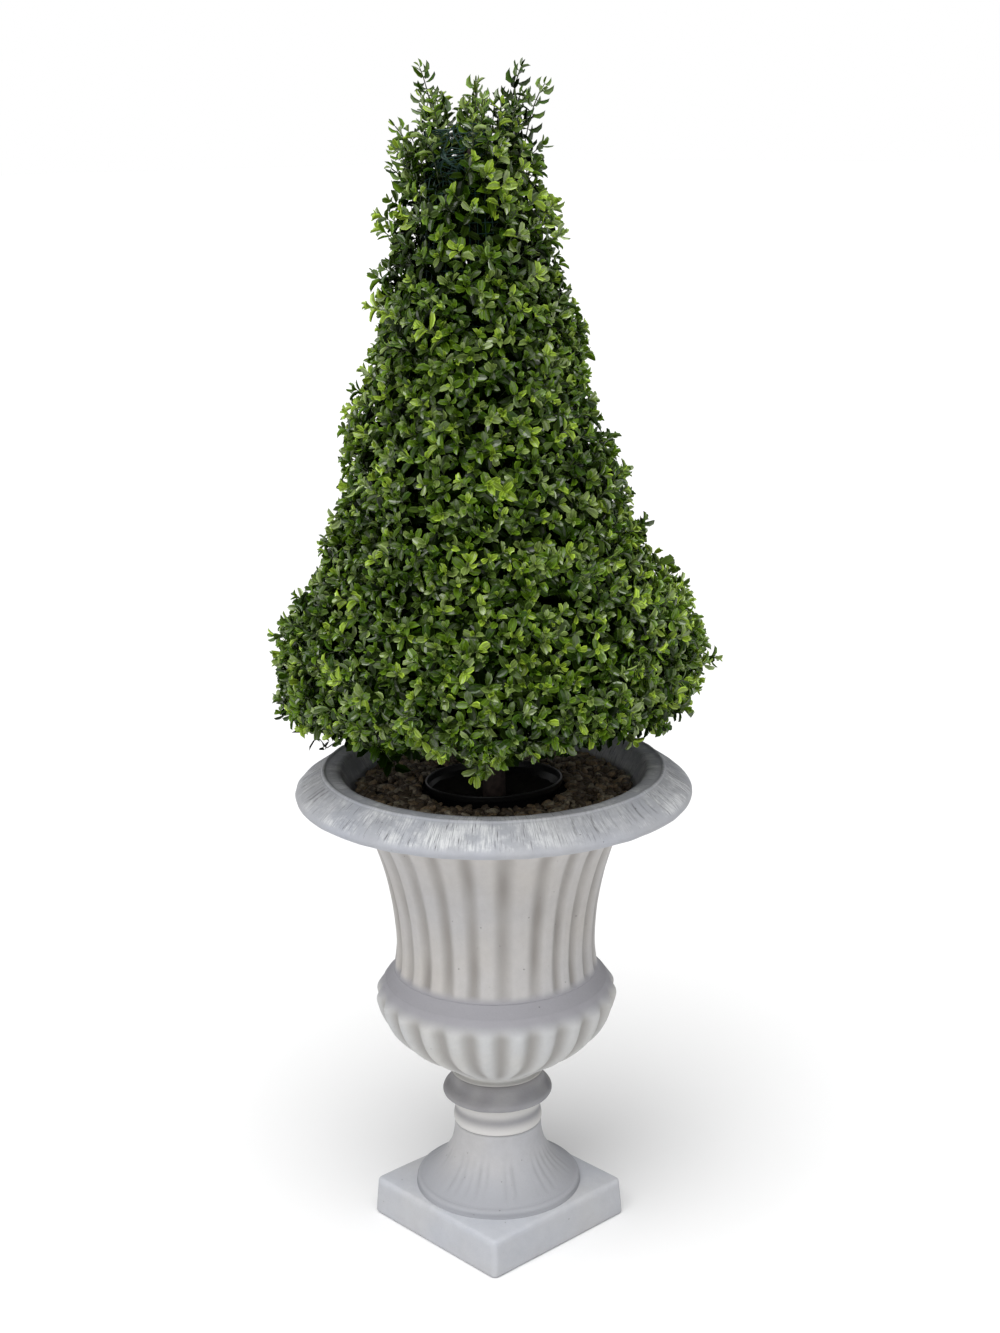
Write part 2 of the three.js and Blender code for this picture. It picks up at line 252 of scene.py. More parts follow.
# Foot: a round disc with a soft rolled edge under a trumpet-shaped stem. Shallow flutes are cast
# into the stem and end in small rounded tongues above the disc.
FOOT_SIDES = 400
STEM_FLUTES = 40
STEM_FLUTE_DEPTH = 0.0012
NECK_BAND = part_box("urn_foot")[1].z


def arc(centre, size, start, end, steps):
    """Points of (radius, height) on an arc, its angles in degrees from straight outwards."""
    turns = [math.radians(start + (end - start) * step / steps) for step in range(steps + 1)]
    return [(centre[0] + size * math.cos(turn), centre[1] + size * math.sin(turn)) for turn in turns]


def flowing(points, steps):
    """A smooth line through all the points, with each stretch between two cut into steps."""
    line = []
    for i in range(len(points) - 1):
        before, here = Vector(points[max(0, i - 1)]), Vector(points[i])
        there, after = Vector(points[i + 1]), Vector(points[min(len(points) - 1, i + 2)])
        leave, arrive = (there - before) / 2, (after - here) / 2
        for step in range(steps):
            t = step / steps
            spot = here * (2 * t**3 - 3 * t**2 + 1) + leave * (t**3 - 2 * t**2 + t)
            spot += there * (3 * t**2 - 2 * t**3) + arrive * (t**3 - t**2)
            line.append(tuple(spot))
    return line + [tuple(points[-1])]


def turned(outline, sides, closed=False):
    """Spins an outline of (radius, height) points, in millimetres, about the upright axis."""
    shape = bmesh.new()
    line = [shape.verts.new((0, -radius / 1000, height / 1000)) for radius, height in outline]
    pairs = list(zip(line, line[1:]))
    if closed:
        pairs.append((line[-1], line[0]))
    edges = [shape.edges.new(pair) for pair in pairs]
    bmesh.ops.spin(shape, geom=line + edges, cent=(0, 0, 0), axis=(0, 0, 1), dvec=(0, 0, 0),
                   angle=math.tau, steps=sides, use_merge=True, use_duplicate=False)
    bmesh.ops.remove_doubles(shape, verts=shape.verts, dist=1e-6)
    bmesh.ops.recalc_face_normals(shape, faces=shape.faces)
    return shape


def azimuth(co):
    """Degrees round the upright axis, from -Y towards +X."""
    return math.degrees(math.atan2(co.x, -co.y))


def pitch_share(co, count, first):
    """Where a point lies across its repeat: 0 on the groove, and 1 or -1 midway to the next."""
    turn = (azimuth(co) - first) * count / 360
    return 2 * (turn - round(turn))


def reach(co):
    return math.hypot(co.x, co.y)


def pushed(shape, amount):
    """Moves each point straight out from the axis by amount(point)."""
    for vert in shape.verts:
        radius = reach(vert.co)
        if radius > 1e-5:
            grown = (radius + amount(vert.co)) / radius
            vert.co.x *= grown
            vert.co.y *= grown


def stem_flute(co):
    along = ramp(co.z, 0.064, 0.072) * (1 - ramp(co.z, 0.084, 0.116))
    across = 1 - ramp(abs(pitch_share(co, STEM_FLUTES, 0)), 0.0, 0.8)
    filled = ramp(noise.noise(Vector((azimuth(co) * 0.045, co.z * 20, 6.2))), -0.25, 0.3)
    on_stem = reach(co) > 0.05
    return along * across * filled if on_stem else 0.0


foot_line = [(0, 51.2), (109.0, 51.2), (108.4, 52.0), (108.1, 53.4)]
foot_line += arc((102.6, 56.6), 5.5, -14, 96, 8)
foot_line += flowing([(101.4, 62.4), (99.0, 63.8), (95.6, 66.8), (88, 73.2), (80, 80.4), (72.6, 88.6),
                      (66.6, 97.4), (62.2, 106.5), (59.4, 116), (57.6, 126), (57, 136.8)], 4)
foot_line += [(56.6, 138.4), (55.5, 139.6), (55.2, NECK_BAND * 1000), (0, NECK_BAND * 1000)]
stem = turned(foot_line, FOOT_SIDES)
# The flutes are darkened as painted shade, with a dark line at the joint under the knob. The disc and lower
# flare turn a darker, cooler grey: painted shade under the bowl.
marked(stem, lambda co: min(1.0, 0.55 * stem_flute(co) + 0.45 * ramp(co.z, 0.1385, 0.140)),
       lambda co: 0.9 * (1 - ramp(co.z, 0.062, 0.110)))
pushed(stem, lambda co: -STEM_FLUTE_DEPTH * stem_flute(co))
hand_worn(stem, 0.03, 0.0004)
stone_foot = cast_stone("cast_stone_foot", (0.475, 0.47, 0.475), (0.30, 0.30, 0.31),
                        wear_and_light_tone=(0.35, 0.357, 0.384))
foot = finished("foot", stem, stone_foot)
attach(foot, "root")
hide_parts("urn_foot")


# Knob: the joint between foot and bowl. A soft band, a shallow cove and a lighter band lie under
# one fat ring, whose neck takes the bowl. Both bands are paled as painted light, and the cove
# between them keeps the darker base colour as painted shade.
KNOB_SIDES = 160
KNOB_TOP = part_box("urn_knob")[1].z
knob_line = [(0, NECK_BAND * 1000), (55.2, NECK_BAND * 1000)]
knob_line += flowing([(56.8, 141.8), (57.7, 143.6), (57.8, 147), (57.3, 151), (56.4, 156), (56.2, 161),
                      (56.9, 165.5), (57.9, 169.5), (58.5, 174), (58.3, 178), (58.2, 180)], 3)
knob_line += flowing([(60.4, 180.1), (66.0, 180.3), (70.2, 181.8), (71.4, 184.8), (70.6, 188.8),
                      (67.4, 192.6), (63.6, 196.4), (61.2, 200.4), (60, 205), (59.4, 209)], 4)
knob_line += [(58.6, 211), (58.2, KNOB_TOP * 1000), (0, KNOB_TOP * 1000)]
ring = turned(knob_line, KNOB_SIDES)


def knob_crevice(co):
    """Painted shade under the ring and in the neck under the bowl, and a dark line at the lowest joint."""
    return max(share * math.exp(-((co.z - spot) / width) ** 2) for share, spot, width in
               ((0.6, 0.1412, 0.0012), (0.5, 0.1800, 0.0010), (0.35, 0.2110, 0.0060)))


# Below the ring: painted light, less in the cove. On the ring: random pale patches.
marked(ring, knob_crevice,
       lambda co: (1 - ramp(co.z, 0.1780, 0.1800)) * (1 - 0.85 * math.exp(-((co.z - 0.1590) / 0.0080)**2))
       + 0.16 * ramp(noise.noise(co / 0.026), -0.3, 0.6) * ramp(co.z, 0.1800, 0.1840))
hand_worn(ring, 0.02, 0.0004)
stone_knob = cast_stone("cast_stone_knob", (0.275, 0.27, 0.28), (0.20, 0.19, 0.185),
                        wear_and_light_tone=(0.66, 0.648, 0.635))
knob = finished("knob", ring, stone_knob)
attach(knob, "root")
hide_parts("urn_knob")


# Bowl: the urn's round belly, cast with a ring of upright lobes parted by wide soft grooves. Each
# lobe rises out of a plain shoulder, and narrows to nothing at the knob. The gravel fills it.
LOBES = 24
FIRST_GROOVE = 4.5
LOBE_DEPTH = 0.0088
LOBE_HEAD = (0.316, 0.346)
URN_SIDES = LOBES * 18
PAINTED_SHADE_GREY = (0.325, 0.32, 0.345)
BOWL_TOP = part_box("urn_bowl")[1].z


def lobe_hollow(co):
    """How far below a lobe's crest a point lies: 0 on the crest and 1 in the groove."""
    if reach(co) < 0.060 + 0.9 * max(0, co.z - 0.236) * (co.z < 0.27) or co.z > 0.345:
        return 0.0
    groove = (0.5 + 0.5 * math.cos(math.pi * pitch_share(co, LOBES, FIRST_GROOVE)))**1.35
    return groove * ramp(co.z, 0.219, 0.242) * (1 - ramp(co.z, *LOBE_HEAD))


belly = flowing([(57.4, 218.6), (61.5, 221.6), (74, 230.8), (89, 240.6), (107.2, 252.2), (124.7, 266.2),
                 (139.4, 282.4), (149.6, 300.6), (155.2, 318), (155.7, 325), (153.6, 330), (147.8, 338),
                 (143.4, 344), (141.6, 345.6), (137.4, 349.8), (133.6, 354.6), (131.9, 358.2)], 5)
bowl_line = [(0, 212), (58.4, 212), (60.2, 213.4), (60.3, 215.6), (58.6, 217.2)] + belly
bowl_line += [(131.5, BOWL_TOP * 1000), (112, BOWL_TOP * 1000), (128, 316), (112, 270), (72, 240), (0, 236)]
bowl_shape = turned(bowl_line, URN_SIDES)
# The grooves are darkened, and so is the bowl's foot where it sits on the knob: painted shade. The shoulder
# turns a darker lilac grey: painted shade.
marked(bowl_shape,
       lambda co: min(1.0, 0.9 * lobe_hollow(co) + 0.55 * (1 - ramp(co.z, 0.2150, 0.2200))),
       lambda co: 0.95 * ramp(co.z, 0.324, 0.340))
pushed(bowl_shape, lambda co: -LOBE_DEPTH * lobe_hollow(co) * reach(co) / 0.155)
hand_worn(bowl_shape, 0.04, 0.0005)
stone_bowl = cast_stone("cast_stone_bowl", (0.535, 0.528, 0.51), (0.305, 0.293, 0.280), wear_and_light_tone=PAINTED_SHADE_GREY)
bowl = finished("bowl", bowl_shape, stone_bowl)
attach(bowl, "root")
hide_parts("urn_bowl")


# Body: the waisted wall above the bowl, cast with broad flat staves parted by narrow round
# flutes in line with the lobes. It opens out like a bell under the rim.
FLUTE_DEPTH = 0.0046
FLUTE_WIDTH = 0.72


def stave_flute(co):
    """How deep in a flute a point lies. The flutes were drawn by eye, and stray where they meet."""
    along = ramp(co.z, 0.3595, 0.369) * (1 - 0.75 * ramp(co.z, 0.556, 0.584))
    on_wall = reach(co) > 0.120 + 0.25 * max(0, co.z - 0.46)
    stray = 5.4 * math.exp(-((azimuth(co) - 72) / 20)**2)
    share = pitch_share(co, LOBES, FIRST_GROOVE + stray)
    across = math.cos(math.pi / 2 * min(1.0, abs(share) / FLUTE_WIDTH))**2
    return along * across if on_wall else 0.0


def stave_dirt_and_shade(co):
    """Dirt and painted shade lie in the flutes, in blotches."""
    blotch = noise.noise(Vector((azimuth(co) * 0.08, co.z * 22, 4.7)))
    return stave_flute(co) * (0.80 + 0.5 * blotch)


wall = flowing([(131.5, 360), (130.5, 366), (129.1, 376), (127.9, 391), (128.1, 410), (129.6, 430),
                (131.9, 450), (135.4, 470), (139.8, 490), (145.3, 510), (152.1, 530), (160.2, 548),
                (171.5, 567), (184, 584)], 5)
body_shape = turned(wall + [(168, 584), (124, 500), (109, 410), (112, 360)], URN_SIDES, closed=True)
# The foot of the body turns the darker lilac grey of the bowl's shoulder: painted shade.
marked(body_shape, stave_dirt_and_shade, lambda co: 1 - ramp(co.z, 0.3595, 0.371))
pushed(body_shape, lambda co: -FLUTE_DEPTH * stave_flute(co))
hand_worn(body_shape, 0.05, 0.0005)
stone_body = cast_stone("cast_stone_body", (0.515, 0.492, 0.468), (0.295, 0.278, 0.262), wear_and_light_tone=PAINTED_SHADE_GREY)
body = finished("body", body_shape, stone_body)
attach(body, "root")
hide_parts("urn_body")


# Rim: a lip turned out and down over the body. A low bead parts its inner ledge from the sloping
# face, which is cut with thin radial reeds. The front is rubbed smooth and has a worn pale wash.
REEDS = 104
REED_DEPTH = 0.0015
RIM_SIDES = REEDS * 10
RUBBED_FROM, RUBBED_TO = -26, 80
reed_rolls = random.Random(7)
reed_strength = [reed_rolls.uniform(0.25, 1.0) for reed in range(REEDS)]
reed_shift = [reed_rolls.uniform(-0.35, 0.35) for reed in range(REEDS)]


def rubbed_front(co):
    """1 on the side that is handled most, and 0 round the back."""
    turn = azimuth(co)
    return ramp(turn, RUBBED_FROM, RUBBED_FROM + 24) * (1 - ramp(turn, RUBBED_TO - 24, RUBBED_TO))


def rim_wash_and_light(co):
    """The wash lies on the face, most at the front, and on top of the bead. The ledge, the inside of the
    mouth and the far side of the face are paled too: painted light.
    """
    on_face = ramp(reach(co), 0.214, 0.220) * (1 - ramp(reach(co), 0.246, 0.250)) * (co.z > 0.595)
    bead_top = math.exp(-((reach(co) - 0.2136) / 0.0018)**2)
    far_side = ramp(azimuth(co), 84, 112) * (1 - ramp(azimuth(co), 150, 170))
    on_ledge = 0.90 * (1 - ramp(reach(co), 0.2075, 0.2105)) * (co.z > 0.62)
    in_throat = 0.75 * (reach(co) < 0.190) * (co.z > 0.5905) * (co.z < 0.62)
    return min(1.0, on_face * max(0.60, rubbed_front(co), far_side) + 0.8 * bead_top + on_ledge + in_throat)


def reed(co):
    """How deep in a reed a point lies. Each is a little out of place, curved and worn its own way."""
    share = (azimuth(co) % 360) * REEDS / 360
    curl = 0.30 * math.sin((reach(co) - 0.217) * 100)
    number = int(share + curl) % REEDS
    within = (share + curl + reed_shift[number]) % 1.0
    on_face = ramp(reach(co), 0.2165, 0.221) * (1 - ramp(reach(co), 0.236, 0.243)) * (co.z > 0.598)
    wear = 1 - 0.85 * rubbed_front(co)
    sharp = 6 + 16 * ramp(azimuth(co), 0, 60)
    return on_face * reed_strength[number] * wear * math.sin(math.pi * within)**sharp


lip = flowing([(184, 584), (186, 587.6), (206, 588.6), (227, 589.6), (240, 590.8), (246.4, 593), (249.5, 597),
               (249.4, 601.4), (246, 606), (239.5, 611.2), (232, 616.4), (224.5, 621.4), (219, 625.2),
               (216.4, 626.8)], 4)
bead = arc((213.6, 626.8), 2.6, 15, 150, 8)
ledge = [(209.6, 627.6), (205, 627.6), (199, 627.6), (194, 627.2)]
throat = flowing([(191.6, 625), (189.6, 620.6), (185.4, 612.6), (180, 602.5), (174, 592), (168, 584)], 3)
rim_shape = turned(lip + bead + ledge + throat, RIM_SIDES, closed=True)
# The reeds are darkened as painted shade.
marked(rim_shape, lambda co: 0.9 * reed(co), rim_wash_and_light)
pushed(rim_shape, lambda co: -0.4 * REED_DEPTH * reed(co))
for vert in rim_shape.verts:
    vert.co.z -= REED_DEPTH * reed(vert.co)
hand_worn(rim_shape, 0.025, 0.0007)
stone_rim = cast_stone("cast_stone_rim", (0.405, 0.41, 0.432), (0.15, 0.148, 0.155),
                       wear_and_light_tone=(0.66, 0.67, 0.68), wash=0.85)
rim = finished("rim", rim_shape, stone_rim)
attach(rim, "root")
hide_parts("urn_rim")


# Gravel: loose dark brown stones, rounded and rather long, poured round the pot up to just under
# the mouth. They lie mostly flat, over a lumpy bed coloured near black: painted shade for the
# stones below them.
GRAVEL_LEVEL = 0.6000
GRAVEL_REACH = 0.1765
GRAVEL_POT = 0.0905
STONE_LENGTH = 0.0190
STONE_COUNT = 1500
STONE_TONES = {"stones_dark": (0.105, 0.078, 0.050), "stones_brown": (0.250, 0.180, 0.108),
               "stones_grey": (0.310, 0.262, 0.190)}


def clouded(nodes, clouds, colour, stops):
    """A colour that clouds make darker and paler. A stop is (place in the clouds, times the colour)."""
    tones = nodes.new("ShaderNodeValToRGB")
    for stop, (place, times) in zip(tones.color_ramp.elements, stops):
        stop.position = place
        stop.color = (*(times * part for part in colour), 1)
    return wired(tones, {"Fac": clouds}).outputs["Color"]


def stony(name, colour, rough, grain=240):
    """A dull mineral or earthy skin with small darker and paler clouds."""
    material, nodes, shader = blank(name, {"Roughness": rough})
    clouds = cloud(nodes, grain, 4)
    tones = clouded(nodes, clouds, colour, ((0.3, 0.5), (0.75, 1.6)))
    wired(shader, {"Base Color": tones, "Normal": dented(nodes, clouds, 0.5, 0.0012)})
    return material


def pattern(shape):
    """The points and the triangles of a bmesh, for stamping many times."""
    bmesh.ops.triangulate(shape, faces=shape.faces)
    shape.verts.index_update()
    points = np.array([vert.co for vert in shape.verts])
    corners = np.array([[vert.index for vert in face.verts] for face in shape.faces])
    shape.free()
    return points, corners


def stamped(name, stamp, turns, spots, material, marks=None, smooth=True):
    """One mesh of many copies of a stamp: turns are 3x3 matrices with the size in, spots are points."""
    points, corners = stamp
    count = len(spots)
    places = np.einsum("nij,pj->npi", turns, points) + spots[:, None, :]
    faces = (corners[None] + (np.arange(count) * len(points))[:, None, None]).reshape(-1, 3)
    mesh = bpy.data.meshes.new(name)
    mesh.vertices.add(count * len(points))
    mesh.vertices.foreach_set("co", places.reshape(-1).astype(np.float32))
    mesh.loops.add(faces.size)
    mesh.loops.foreach_set("vertex_index", faces.reshape(-1).astype(np.int32))
    mesh.polygons.add(len(faces))
    mesh.polygons.foreach_set("loop_start", np.arange(0, faces.size, 3, dtype=np.int32))
    mesh.polygons.foreach_set("use_smooth", np.full(len(faces), smooth))
    for title, values in (marks or {}).items():
        layer = mesh.attributes.new(title, "FLOAT", "POINT")
        layer.data.foreach_set("value", np.tile(values, count).astype(np.float32))
    mesh.update(calc_edges=True)
    return placed(name, mesh, material)


bed_line = flowing([(30, 585), (84, 594), (110, 597), (150, 597), (172, 595)], 8)
bed_shape = turned(bed_line + [(165, 583), (151, 560), (30, 560)], 120, closed=True)
for vert in bed_shape.verts:
    if vert.co.z > 0.58:
        vert.co.z += 0.0035 * noise.noise(vert.co / 0.009)
bed = finished("gravel_shade_bed", bed_shape, stony("gravel_shade_bed", (0.016, 0.013, 0.010), 0.95, 160))
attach(bed, "root")
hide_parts("gravel_fill")

rolls = np.random.default_rng(11)
pebble = bmesh.new()
bmesh.ops.create_uvsphere(pebble, u_segments=8, v_segments=5, radius=0.5)
bmesh.ops.rotate(pebble, matrix=Matrix.Rotation(math.pi / 2, 3, "Y"), verts=pebble.verts)
bmesh.ops.scale(pebble, vec=(1, 0.52, 0.40), verts=pebble.verts)
for vert in pebble.verts:
    vert.co *= 1 + 0.16 * noise.noise(vert.co * 3.1)
pebble_stamp = pattern(pebble)
stone_reach = np.sqrt(rolls.uniform(GRAVEL_POT**2, GRAVEL_REACH**2, STONE_COUNT))
stone_turn = rolls.uniform(0, math.tau, STONE_COUNT)
stone_size = STONE_LENGTH * rolls.uniform(0.6, 1.15, STONE_COUNT)
stone_reach = np.clip(stone_reach, GRAVEL_POT + 0.42 * stone_size, GRAVEL_REACH - 0.42 * stone_size)
stone_height = GRAVEL_LEVEL + rolls.uniform(-0.004, 0.0025, STONE_COUNT)
stone_spots = np.stack([stone_reach * np.sin(stone_turn), -stone_reach * np.cos(stone_turn), stone_height], 1)
stone_turns = []
for size, yaw, tilt, roll in zip(stone_size, rolls.uniform(0, math.tau, STONE_COUNT),
                                 rolls.normal(0, 0.38, STONE_COUNT), rolls.normal(0, 0.5, STONE_COUNT)):
    turn = Matrix.Rotation(yaw, 3, "Z") @ Matrix.Rotation(tilt, 3, "Y") @ Matrix.Rotation(roll, 3, "X")
    stone_turns.append(np.array(turn) * size)
stone_turns = np.array(stone_turns)
stone_kind = rolls.choice(len(STONE_TONES), STONE_COUNT, p=(0.5, 0.33, 0.17))
for kind, (name, tone) in enumerate(STONE_TONES.items()):
    chosen = stone_kind == kind
    stones = stamped(name, pebble_stamp, stone_turns[chosen], stone_spots[chosen], stony(name, tone, 0.55))
    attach(stones, "root")
    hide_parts("gravel_fill")


# Nursery pot: a thin blow-moulded pot in black plastic with a rolled rim. It leans a little with
# the topiary, and stands in the gravel up to just under its rim.
POT_RIM = 0.612
LEAN = math.radians(2.9)
LEAN_TOWARDS = math.radians(258)
PLASTIC_GRAIN = 900
leaning = Matrix.Translation((0, 0, POT_RIM)) @ Matrix.Rotation(
    LEAN, 4, Vector((math.cos(LEAN_TOWARDS), math.sin(LEAN_TOWARDS), 0)))


def moulded(name, colour, rough):
    """Moulded plastic: an even colour under a faintly uneven skin, from glossy to half dull."""
    material, nodes, shader = blank(name, {"Base Color": (*colour, 1)})
    skin = cloud(nodes, PLASTIC_GRAIN)
    sheen = stretched(nodes, skin, 0, 1, rough - 0.08, rough + 0.08)
    wired(shader, {"Roughness": sheen, "Normal": dented(nodes, skin, 0.3, 0.0002)})
    return material


def leant(shape):
    """Leans a shape that was made upright, with its zero height at the pot's rim."""
    bmesh.ops.transform(shape, matrix=leaning, verts=shape.verts)


pot_line = [(0, -165), (64, -165)] + arc((64, -163), 2, -90, 0, 3)
pot_line += [(82.2, -8.6), (83, -8)] + arc((85.6, -7.2), 0.9, -120, 20, 4)
pot_line += arc((85.4, -1.6), 1.4, -20, 190, 10) + [(82.6, -8), (63.6, -161), (62, -162.5), (0, -162.5)]
pot_shape = turned(pot_line, 144)
leant(pot_shape)
pot = finished("nursery_pot_shell", pot_shape, moulded("black_plastic", (0.006, 0.006, 0.0065), 0.30))
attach(pot, "root")
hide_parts("nursery_pot")


# Ballast: dark cement poured round the foot of the stem, to weight the pot. Its top is uneven and
# dusty, and dips a little at the stem.
ballast_line = [(0, -162), (63, -162), (80.6, -30.4)]
ballast_line += flowing([(80.4, -29), (60, -30.5), (34, -31.5), (17, -29.5), (0, -29)], 6)
ballast_shape = turned(ballast_line, 72)
for vert in ballast_shape.verts:
    if vert.co.z > -0.04 and reach(vert.co) < 0.079:
        vert.co.z += 0.0016 * noise.noise(vert.co / 0.011)
leant(ballast_shape)
ballast = finished("cement_ballast", ballast_shape, stony("cement", (0.012, 0.011, 0.011), 0.95, 320))
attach(ballast, "root")
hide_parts("pot_ballast")


# Trunk: a straight natural stem, set in the ballast and tapering up into the crown. Its dark bark
# is ridged along the grain, with a few worn branch scars.
TRUNK_FOOT, TRUNK_TIP = -0.0305, 0.770
TRUNK_RADIUS, TRUNK_TIP_RADIUS = 0.015, 0.007
TRUNK_SIDES = 48
TRUNK_ROWS = 190


def trunk_radius(height):
    share = min(1.0, max(0.0, (height - TRUNK_FOOT) / (TRUNK_TIP - TRUNK_FOOT)))
    return TRUNK_RADIUS + (TRUNK_TIP_RADIUS - TRUNK_RADIUS) * share


def bark(co):
    turn = math.radians(azimuth(co))
    ridge = noise.noise(Vector((6.5 * math.cos(turn), 6.5 * math.sin(turn), co.z * 26)))
    flake = noise.noise(Vector((15 * math.cos(turn), 15 * math.sin(turn), co.z * 70)))
    scar = max(0.0, noise.noise(Vector((2 * math.cos(turn), 2 * math.sin(turn), co.z * 14 + 5))) - 0.35)
    return 0.0016 * abs(ridge) + 0.0006 * flake + 0.004 * scar - 0.0010


trunk_line = [(0, TRUNK_FOOT * 1000)]
for row in range(TRUNK_ROWS + 1):
    height = TRUNK_FOOT + (TRUNK_TIP - TRUNK_FOOT) * row / TRUNK_ROWS
    trunk_line.append((trunk_radius(height) * 1000, height * 1000))
trunk_line.append((0, TRUNK_TIP * 1000))
trunk_shape = turned(trunk_line, TRUNK_SIDES)
pushed(trunk_shape, bark)
leant(trunk_shape)
bark_skin = stony("bark", (0.060, 0.042, 0.036), 0.85, 130)
trunk = finished("bark_stem", trunk_shape, bark_skin)
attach(trunk, "root")
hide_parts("trunk")


# Core: a cone of dark teal plastic lattice, wired to the stem, that the sprays are pushed into.
# Its open top is torn and crumpled, and shows between the last sprays.
CORE_OUTLINE = [(118, 112), (150, 104), (178, 150), (176, 200), (150, 268), (122, 335), (92, 480), (66, 630),
                (52, 735), (49, 762), (48, 790)]
CORE_BARS = 40
CORE_BAR = 0.0018
TORN_ABOVE = 0.66
TORN_SHARE = 0.45
CRUMPLE = 0.013
CRUMPLE_HEIGHTS = (0.68, 0.75)

core_shape = turned(flowing(CORE_OUTLINE, 9), CORE_BARS)
strand_rolls = random.Random(5)
torn = [face for face in core_shape.faces
        if face.calc_center_median().z > TORN_ABOVE and strand_rolls.random() < TORN_SHARE]
bmesh.ops.delete(core_shape, geom=torn, context="FACES")
for vert in core_shape.verts:
    vert.co += noise.noise_vector(vert.co / 0.016) * CRUMPLE * ramp(vert.co.z, *CRUMPLE_HEIGHTS)
bmesh.ops.wireframe(core_shape, faces=core_shape.faces, thickness=CORE_BAR, use_replace=True,
                    use_boundary=True, use_even_offset=False)
bmesh.ops.recalc_face_normals(core_shape, faces=core_shape.faces)
leant(core_shape)
teal_plastic = moulded("teal_plastic", (0.010, 0.040, 0.030), 0.55)
core = finished("lattice_core", core_shape, teal_plastic, smooth=False)
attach(core, "root")


# Sprays: each is one moulded sprig, whose thin green stem runs inwards from the clipped surface of
# the foliage. Their tips are spread over every mass, in clumps with deep hollows between. The open
# top has a gap at one side, and a few strays hang below the hem.
MASSES = ("foliage_skirt", "foliage_lower", "foliage_middle", "foliage_upper", "foliage_crown")
TUFTS = ("foliage_tuft_left", "foliage_tuft_middle", "foliage_tuft_right", "foliage_tuft_outer",
         "foliage_tuft_back")
SPRAY_SPACING = 0.0146
CROWN_SPACING = 0.0175
UNDER_SPACING = 0.0190
OPEN_ABOVE = 0.775
THIN_ABOVE = 0.655
THIN_OVER = 0.08
THIN_SHARE = 0.34
SPRAY_LENGTH = 0.070
SPRAY_BOW = 3.0
STEM_RADIUS = 0.00075
SET_BACK = 0.0080
CLUMP_DEPTH = 0.005
HOLLOW_DEPTH = 0.034
DEEPEST = 0.033
LEFT_BITES = ((0.016, 0.285), (0.008, 0.66))
BITE_WIDTH = 0.050
RIGHT_TRIM = 0.007
HEM_TOP = 0.115
HEM_LIFT = 0.012
HANG_SHARE = 0.16
HANG_DROP = 0.013
STRAY_SIZE = 1.12
STRAY_VIGOUR_AND_LIGHT = 0.7
GAP_WAY = np.array((0.45, -0.89, 0.0))
GAP_RISE = 0.728
GAP_COSINE = 0.92
HEM_STRAYS = ((40, 0.172, 0.668), (44, 0.168, 0.674), (-41, 0.228, 0.694), (-33, 0.210, 0.696),
              (-3, 0.172, 0.680), (104, 0.200, 0.692), (121, 0.214, 0.694), (196, 0.222, 0.682),
              (-93, 0.204, 0.682))
LEFT_WAY = np.array((-0.68, -0.73, 0.0))
spray_rolls = np.random.default_rng(23)
pivot = np.array((0, 0, POT_RIM))
upright = np.array(leaning.to_3x3() @ Vector((0, 0, 1)))
UP = np.array((0.0, 0.0, 1.0))


def unit(rows):
    """Each row made one long."""
    return rows / np.maximum(np.linalg.norm(rows, axis=1), 1e-9)[:, None]


def triangles_of(name):
    """The corners of a CAD solid's triangles."""
    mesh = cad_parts[name].data
    points = np.array([vert.co for vert in mesh.vertices])
    mesh.calc_loop_triangles()
    return points[np.array([triangle.vertices for triangle in mesh.loop_triangles])]


def off_stem(spots):
    """How high up the leaning stem each point is, how far out from it, and the way out."""
    arm = spots - pivot
    rise = arm @ upright
    arm = arm - np.outer(rise, upright)
    out = np.linalg.norm(arm, axis=1)
    return rise, out, arm / np.maximum(out, 1e-6)[:, None]


def outer_faces(name):
    """The triangles of a mass that face the open air: its side, and the skirt's hem."""
    corners = triangles_of(name)
    normal = unit(np.cross(corners[:, 1] - corners[:, 0], corners[:, 2] - corners[:, 0]))
    rise, out, way = off_stem(corners.mean(axis=1))
    side = ((normal * way).sum(axis=1) > 0.45) & (out > 0.05) & (rise < OPEN_ABOVE)
    hem = (normal @ upright < -0.3) & (out > 0.10) & (name == "foliage_skirt")
    return corners[side], corners[hem & ~side]


def scattered(corners, spacing):
    """Points spread over triangles, no two nearer than the spacing, each with its face's normal."""
    cross = np.cross(corners[:, 1] - corners[:, 0], corners[:, 2] - corners[:, 0])
    area = np.linalg.norm(cross, axis=1) / 2
    tries = int(5 * area.sum() / spacing**2)
    picked = spray_rolls.choice(len(corners), tries, p=area / area.sum())
    first, second = spray_rolls.random(tries), spray_rolls.random(tries)
    over = first + second > 1
    first[over], second[over] = 1 - first[over], 1 - second[over]
    a, b, c = (corners[picked, i] for i in range(3))
    spots = a + first[:, None] * (b - a) + second[:, None] * (c - a)
    normals = cross[picked] / (2 * area[picked])[:, None]
    kept, cells = [], {}
    around = [(i, j, k) for i in (-1, 0, 1) for j in (-1, 0, 1) for k in (-1, 0, 1)]
    for number, (x, y, z) in enumerate(spots.tolist()):
        column, row, level = int(x // spacing), int(y // spacing), int(z // spacing)
        near = (other for i, j, k in around for other in cells.get((column + i, row + j, level + k), ()))
        if all((x - p)**2 + (y - q)**2 + (z - r)**2 > spacing**2 for p, q, r in near):
            cells.setdefault((column, row, level), []).append((x, y, z))
            kept.append(number)
    return spots[kept], normals[kept]


def cloudy(spots, size, shift):
    """Smooth noise at each point, with lumps of about the size given."""
    return np.array([noise.noise(Vector(spot) / size + Vector((shift, shift, shift))) for spot in spots])


